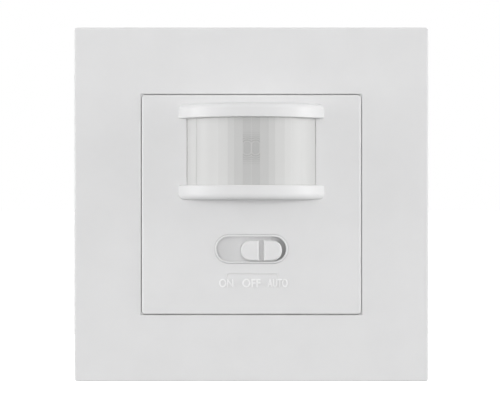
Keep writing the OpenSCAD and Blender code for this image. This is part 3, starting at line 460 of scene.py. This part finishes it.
def add_mesh(name, points, faces, slot):
    mesh = bpy.data.meshes.new(name)
    mesh.from_pydata(points, [], faces)
    mesh.validate()
    return add_piece(name, mesh, MATERIALS[slot])


# Flat strips of each half of the lens, from the middle outwards: outer border in degrees, and the share
# of a full groove that runs there
FLATS = [(6.2, 0.2), (12.5, 0.3), (17.5, 0.15), (24.8, 0.25)]
# How milky the lens is in its middle, darkened there by painted shade, and how much lighter the flat strips
# get with each degree, as painted light
MIDDLE_MILK_AND_SHADE = 0.447
LEFT_RISE = 0.0083
RIGHT_RISE = 0.007
# Curved strips outside the flat ones, with the milkiness at their inner and outer border as well; it holds
# painted shade that partly offsets the side lamps' light, and painted light that differs between the halves
LEFT_CURVED = [(45.2, 1.0, 0.65, 0.5), (LENS_END_ANGLE, 0.0, 0.59, 0.6)]
RIGHT_CURVED = [(31.5, 0.1, 0.62, 0.61), (40.0, 0.0, 0.61, 0.52), (LENS_END_ANGLE, 0.0, 0.52, 0.61)]
# Half width of a groove in degrees, and the depth and shade of a full groove
GROOVE_ANGLE = 0.3
GROOVE_DEPTH = 0.1
GROOVE_SHADE = 0.12
# Painted highlight along the seam between the two halves: its half width in degrees and how much lighter it
# is
SEAM_ANGLE = 0.5
SEAM_HIGHLIGHT = 0.03
# Round-cornered zone in each middle strip, in millimetres, with its soft edge and its painted shade, darker
# at its rim
ZONE_HEIGHT = 13.45
ZONE_HALF = (0.84, 1.4)
ZONE_CORNER = 0.72
ZONE_EDGE = 0.16
ZONE_DEPTH = 0.03
ZONE_SHADE = 0.05
ZONE_RIM_INSET = 0.12
ZONE_RIM_SHARE = 0.4
# Ring grooves round each zone: distances from it, half width, depth and shade, where they have half faded,
# and how sharply
RING_STEPS = [0.47, 0.98, 1.44, 1.87, 2.36]
RING_WIDTH = 0.15
RING_DEPTH = 0.06
RING_SHADE = 0.125
RING_REACH = 1.7
RING_FALL = 3
# Mesh of the sheet: steps in degrees, the angle and height within which it is fine, its rows, the angle
# from which an edge is sharp, and the milkiness of its back
FINE_STEP = 0.25
PLAIN_STEP = 1.0
LEAST_STEP = 0.04
FINE_ANGLE = 6.6
FINE_HEIGHT = 4.2
FINE_ROWS = 120
PLAIN_ROWS = 10
SHARP_ANGLE = 12
INNER_MILK = 0.65


def make_half(rise, curved):
    """All strips of one half: outer border, groove, and milkiness with painted shade and light at the inner
    and the outer border.
    """
    strips, inner = [], 0.0
    for outer, groove in FLATS:
        milk_and_painted_light = MIDDLE_MILK_AND_SHADE + rise * (inner + outer) / 2
        strips.append((outer, groove, milk_and_painted_light, milk_and_painted_light))
        inner = outer
    return strips + curved


LEFT_STRIPS = make_half(LEFT_RISE, LEFT_CURVED)
RIGHT_STRIPS = make_half(RIGHT_RISE, RIGHT_CURVED)


def half_strips(angle):
    return RIGHT_STRIPS if angle > 0 else LEFT_STRIPS


def lens_strip(angle):
    """Index of the strip that an angle from the middle lies in, and its inner border."""
    inner = 0.0
    for index, strip in enumerate(half_strips(angle)):
        if abs(angle) < strip[0] or strip[0] == LENS_END_ANGLE:
            return index, inner
        inner = strip[0]


def ring_relief(angle, height):
    """Depth and shade of the zones and rings in the two middle strips."""
    outer = FLATS[0][0]
    if abs(angle) > outer:
        return 0.0, 0.0
    dx = abs(math.radians(abs(angle) - outer / 2) * LENS_R) - ZONE_HALF[0] + ZONE_CORNER
    dy = abs(height - ZONE_HEIGHT) - ZONE_HALF[1] + ZONE_CORNER
    off = math.hypot(max(dx, 0), max(dy, 0)) + min(max(dx, dy), 0) - ZONE_CORNER
    zone = min(1.0, max(0.0, 0.5 - off / ZONE_EDGE))
    rim = max(0.0, 1 - abs(off + ZONE_RIM_INSET) / ZONE_EDGE)
    ring = max(0.0, 1 - min(abs(off - step) for step in RING_STEPS) / RING_WIDTH)
    ring /= 1 + (max(off, 0) / RING_REACH) ** RING_FALL
    shade = ZONE_SHADE * (zone + ZONE_RIM_SHARE * rim) + RING_SHADE * ring
    return ZONE_DEPTH * zone + RING_DEPTH * ring, shade


def lens_point(angle, height):
    """Radius of the lens's outer surface, and how milky it is there, with its painted shade and light."""
    size = abs(angle)
    index, inner = lens_strip(angle)
    outer, _, milk_and_light_inner, milk_and_light_outer = half_strips(angle)[index]
    radius = LENS_R
    if index < len(FLATS):
        half = math.radians((outer - inner) / 2)
        radius *= math.cos(half) / math.cos(math.radians(size - (inner + outer) / 2))
    milk_and_painted_light = milk_and_light_inner + (milk_and_light_outer - milk_and_light_inner) * (size - inner) / (outer - inner)
    groove = max(deep * (1 - abs(size - edge) / GROOVE_ANGLE) for edge, deep, _, _ in half_strips(angle))
    groove = max(0.0, groove)
    depth, shade = ring_relief(angle, height)
    radius -= groove * GROOVE_DEPTH + depth
    milk_and_painted_light -= shade + groove * GROOVE_SHADE
    # Painted highlight along the seam
    if size < SEAM_ANGLE:
        milk_and_painted_light += SEAM_HIGHLIGHT
    return radius, milk_and_painted_light


def half_angles(strips):
    """Angles of the mesh's columns in one half: fine in the middle strip and at the grooves."""
    values = {i * FINE_STEP for i in range(int(FINE_ANGLE / FINE_STEP))}
    values |= {FINE_ANGLE + i * PLAIN_STEP for i in range(int((LENS_END_ANGLE - FINE_ANGLE) / PLAIN_STEP))}
    for strip in strips:
        values |= {strip[0] + GROOVE_ANGLE * k for k in (-1, -0.5, 0, 0.5, 1)}
    values = sorted(v for v in values if 0 <= v < LENS_END_ANGLE) + [LENS_END_ANGLE]
    kept = [values[0]]
    for value in values[1:]:
        if value - kept[-1] > LEAST_STEP:
            kept.append(value)
    return kept


def lens_heights():
    """Heights of the mesh's rows: fine where the zones and rings are."""
    low, high = LENS_MIDDLE - LENS_FULL_H / 2, LENS_MIDDLE + LENS_FULL_H / 2
    ring_low, ring_high = ZONE_HEIGHT - FINE_HEIGHT, ZONE_HEIGHT + FINE_HEIGHT
    heights = [low + (ring_low - low) * i / PLAIN_ROWS for i in range(PLAIN_ROWS)]
    heights += [ring_low + (ring_high - ring_low) * i / FINE_ROWS for i in range(FINE_ROWS)]
    return heights + [ring_high + (high - ring_high) * i / PLAIN_ROWS for i in range(PLAIN_ROWS + 1)]


def build_lens():
    """Curved sheet of flat upright strips, with grooves between them and rings in the two middle ones."""
    angles = [-v for v in reversed(half_angles(LEFT_STRIPS)[1:])] + half_angles(RIGHT_STRIPS)
    heights = lens_heights()
    wide, rows = len(angles), len(heights) - 1
    points, milk_and_painted_light, faces = [], [], []

    def put(angle, radius, height, value):
        turn = math.radians(angle)
        x, y = radius * math.sin(turn), LENS_AXIS_Y - radius * math.cos(turn)
        points.append((x * MM, y * MM, height * MM))
        milk_and_painted_light.append(value)

    for height in heights:
        for angle in angles:
            radius, value = lens_point(angle, height)
            put(angle, radius, height, value)
    for i in range(rows):
        for j in range(wide - 1):
            a = i * wide + j
            faces.append((a, a + 1, a + wide + 1, a + wide))
    inner, top = len(points), rows * wide
    for height in (heights[0], heights[-1]):
        for angle in angles:
            put(angle, LENS_R - LENS_T, height, INNER_MILK)
    for j in range(wide - 1):
        faces.append((inner + j + 1, inner + j, inner + wide + j, inner + wide + j + 1))
        faces.append((j + 1, j, inner + j, inner + j + 1))
        faces.append((top + j, top + j + 1, inner + wide + j + 1, inner + wide + j))
    left = [i * wide for i in range(rows + 1)]
    right = [i * wide + wide - 1 for i in range(rows + 1)]
    faces.append((*left, inner + wide, inner))
    faces.append((*reversed(right), inner + wide - 1, inner + 2 * wide - 1))
    lens = add_mesh("lens_sheet", points, faces, "lens_plastic")
    # The milkiness kept on the mesh holds painted shade in the middle and painted light towards the sides
    layer = lens.data.attributes.new("milk_and_painted_light", "FLOAT", "POINT")
    layer.data.foreach_set("value", milk_and_painted_light)
    lens.data.shade_smooth()
    lens.data.set_sharp_from_angle(angle=math.radians(SHARP_ANGLE))
    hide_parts("fresnel_lens")


build_lens()

# Raised words, in millimetres: text, middle and width, then what they share
WORDS = [("ON", -6.1, 3.45), ("OFF", 0.03, 4.45), ("AUTO", 6.35, 4.9)]
WORD_MIDDLE = -19.06
WORD_HEIGHT = 2.06
WORD_RISE = 0.2
WORD_SINK = 0.1
# Shape of the letters in the font's own units
LETTER_THICK = 0.05
LETTER_BEVEL = 0.04
LETTER_THIN = -0.02
LETTER_BEVEL_STEPS = 2


def build_word(text, middle, width):
    """A raised word on the plate, as wide and high as told."""
    name = "word_" + text.lower()
    curve = bpy.data.curves.new(name, "FONT")
    curve.body = text
    curve.extrude = LETTER_THICK
    curve.bevel_depth = LETTER_BEVEL
    curve.offset = LETTER_THIN
    curve.bevel_resolution = LETTER_BEVEL_STEPS
    flat = bpy.data.objects.new(name + "_curve", curve)
    bpy.context.scene.collection.objects.link(flat)
    bpy.context.view_layer.update()
    mesh = bpy.data.meshes.new_from_object(flat.evaluated_get(bpy.context.evaluated_depsgraph_get()))
    bpy.data.objects.remove(flat)
    lows = [min(v.co[k] for v in mesh.vertices) for k in range(3)]
    highs = [max(v.co[k] for v in mesh.vertices) for k in range(3)]
    for v in mesh.vertices:
        share = [(v.co[k] - lows[k]) / (highs[k] - lows[k]) for k in range(3)]
        x = middle + (share[0] - 0.5) * width
        y = PLATE_FRONT - WORD_SINK + share[2] * (WORD_RISE + WORD_SINK)
        z = WORD_MIDDLE + (share[1] - 0.5) * WORD_HEIGHT
        v.co = (x * MM, -y * MM, z * MM)
    add_piece(name, mesh, WORD_LIT_PLASTIC)


for text, middle, width in WORDS:
    build_word(text, middle, width)

# Raised line that joins the three positions, in millimetres: its corners, width, height and slope
BRACKET = [(-5.84, -17.5), (-5.84, -16.75), (6.28, -16.75), (6.28, -17.55)]
BRACKET_W = 0.34
BRACKET_RISE = 0.14
BRACKET_SLOPE = 0.12


def bracket_corners(half):
    """Corners of the bracket's outer side and then of its inner side, both half away from its middle line."""
    (x0, z0), (_, z1), (x1, _), (_, z2) = BRACKET
    outer = [(x0 - half, z0), (x0 - half, z1 + half), (x1 + half, z1 + half), (x1 + half, z2)]
    inner = [(x0 + half, z0), (x0 + half, z1 - half), (x1 - half, z1 - half), (x1 - half, z2)]
    return outer + inner


def build_bracket():
    """The raised line with its two ends turned down."""
    foot, top = PLATE_FRONT - WORD_SINK, PLATE_FRONT + BRACKET_RISE
    points = [(x * MM, -foot * MM, z * MM) for x, z in bracket_corners(BRACKET_W / 2)]
    points += [(x * MM, -top * MM, z * MM) for x, z in bracket_corners(BRACKET_W / 2 - BRACKET_SLOPE)]
    # Points 0 to 3 are the foot's outer corners, 4 to 7 its inner ones, and 8 to 15 the same on top
    faces = []
    for i in range(3):
        faces.append((8 + i, 12 + i, 13 + i, 9 + i))
        faces.append((i, i + 8, i + 9, i + 1))
        faces.append((4 + i, 5 + i, 13 + i, 12 + i))
        faces.append((i, i + 1, i + 5, i + 4))
    faces.append((0, 4, 12, 8))
    faces.append((3, 11, 15, 7))
    add_mesh("mode_bracket", points, faces, "cover_plastic")


build_bracket()


# Stage, light and camera

# Floor in metres, with its greys for light and for the camera, its glow near the part and far from it,
# and the distances between which the glow changes
FLOOR_LEVEL = -0.103
FLOOR_HALF = 40.0
FLOOR_GREY = 0.45
FLOOR_SHOWN = 0.65
FLOOR_GLOW = (0.44, 0.74)
GLOW_REACH = (0.14, 0.5)
# Strength of the world's light from below and from above, and the slants between which it changes
SKY_LIGHT = (0.51, 0.54)
SKY_REACH = (-0.4, 0.8)
# Soft lamps: name, azimuth and elevation in degrees, distance and size in metres, watts, and whether
# gloss mirrors them
LAMPS = [
    ("left_lamp", -81, 4, 1.2, (0.34, 0.8), 7.0, True),
    ("right_lamp", 81, 4, 1.2, (0.34, 0.8), 7.9, True),
    ("front_lamp", 0, -4, 1.6, (1.2, 0.8), 24.5, False),
    ("back_lamp", 180, 10, 1.0, (0.5, 0.5), 3.0, False),
]
# Camera straight in front: place in metres, lens and sensor in millimetres
CAMERA_PLACE = (-0.00033, -0.458, -0.000607)
CAMERA_LENS = 133
CAMERA_SENSOR = 36


def camera_sees(tree):
    """1 for rays from the camera, from gloss or through glass."""
    rays = tree.nodes.new("ShaderNodeLightPath")
    first = maths(tree, "MAXIMUM", rays.outputs["Is Camera Ray"], rays.outputs["Is Glossy Ray"])
    return maths(tree, "MAXIMUM", first, rays.outputs["Is Transmission Ray"])


def pick_seen(tree, out, plain, shown):
    """Shows one shader to the camera, in gloss and through glass, and lights with the other."""
    pick = tree.nodes.new("ShaderNodeMixShader")
    tree.links.new(camera_sees(tree), pick.inputs[0])
    tree.links.new(plain, pick.inputs[1])
    tree.links.new(shown, pick.inputs[2])
    tree.links.new(pick.outputs[0], out.inputs["Surface"])


def matt(tree, grey):
    node = tree.nodes.new("ShaderNodeBsdfDiffuse")
    node.inputs["Color"].default_value = (grey, grey, grey, 1)
    return node.outputs[0]


def build_floor():
    """A wide pale floor that shows white to the camera and keeps the part's shadow."""
    mesh = bpy.data.meshes.new("floor")
    corners = [(-1, -1), (1, -1), (1, 1), (-1, 1)]
    mesh.from_pydata([(x * FLOOR_HALF, y * FLOOR_HALF, FLOOR_LEVEL) for x, y in corners], [], [(0, 1, 2, 3)])
    floor = bpy.data.objects.new("floor", mesh)
    bpy.context.scene.collection.objects.link(floor)
    mat = bpy.data.materials.new("floor_white")
    mat.use_nodes = True
    tree = mat.node_tree
    tree.nodes.clear()
    out = tree.nodes.new("ShaderNodeOutputMaterial")
    away = tree.nodes.new("ShaderNodeVectorMath")
    away.operation = "LENGTH"
    tree.links.new(tree.nodes.new("ShaderNodeTexCoord").outputs["Object"], away.inputs[0])
    glow = tree.nodes.new("ShaderNodeEmission")
    tree.links.new(spread(tree, away.outputs["Value"], *FLOOR_GLOW, *GLOW_REACH), glow.inputs["Strength"])
    both = tree.nodes.new("ShaderNodeAddShader")
    tree.links.new(matt(tree, FLOOR_SHOWN), both.inputs[0])
    tree.links.new(glow.outputs[0], both.inputs[1])
    pick_seen(tree, out, matt(tree, FLOOR_GREY), both.outputs[0])
    mesh.materials.append(mat)


def build_world():
    """White behind the object, and a soft even light that is slightly weaker from below."""
    world = bpy.data.worlds.new("studio")
    bpy.context.scene.world = world
    world.use_nodes = True
    tree = world.node_tree
    tree.nodes.clear()
    out = tree.nodes.new("ShaderNodeOutputWorld")
    seen = tree.nodes.new("ShaderNodeBackground")
    light = tree.nodes.new("ShaderNodeBackground")
    for background in (seen, light):
        background.inputs["Color"].default_value = (1, 1, 1, 1)
    seen.inputs["Strength"].default_value = 1.0
    _, _, up = parted(tree, tree.nodes.new("ShaderNodeTexCoord").outputs["Generated"])
    tree.links.new(spread(tree, up, *SKY_LIGHT, *SKY_REACH), light.inputs["Strength"])
    pick_seen(tree, out, light.outputs[0], seen.outputs[0])


def add_lamp(name, azimuth, elevation, distance, size, power, mirrored):
    """A soft lamp that looks at the object; azimuth 0 is in front, positive to the right."""
    data = bpy.data.lights.new(name, "AREA")
    data.shape = "RECTANGLE"
    data.size, data.size_y = size
    data.energy = power
    lamp = bpy.data.objects.new(name, data)
    lamp.visible_camera = False
    lamp.visible_glossy = mirrored
    a, e = math.radians(azimuth), math.radians(elevation)
    lamp.location = (
        distance * math.sin(a) * math.cos(e),
        -distance * math.cos(a) * math.cos(e),
        distance * math.sin(e),
    )
    lamp.rotation_euler = (-lamp.location).to_track_quat("-Z", "Y").to_euler()
    bpy.context.scene.collection.objects.link(lamp)


def build_camera():
    data = bpy.data.cameras.new("photo_camera")
    data.sensor_width = CAMERA_SENSOR
    data.lens = CAMERA_LENS
    camera = bpy.data.objects.new("photo_camera", data)
    camera.location = CAMERA_PLACE
    camera.rotation_euler = (math.pi / 2, 0, 0)
    bpy.context.scene.collection.objects.link(camera)
    bpy.context.scene.camera = camera


build_floor()
build_world()
for lamp in LAMPS:
    add_lamp(*lamp)
build_camera()
bpy.context.scene.view_settings.view_transform = "Standard"
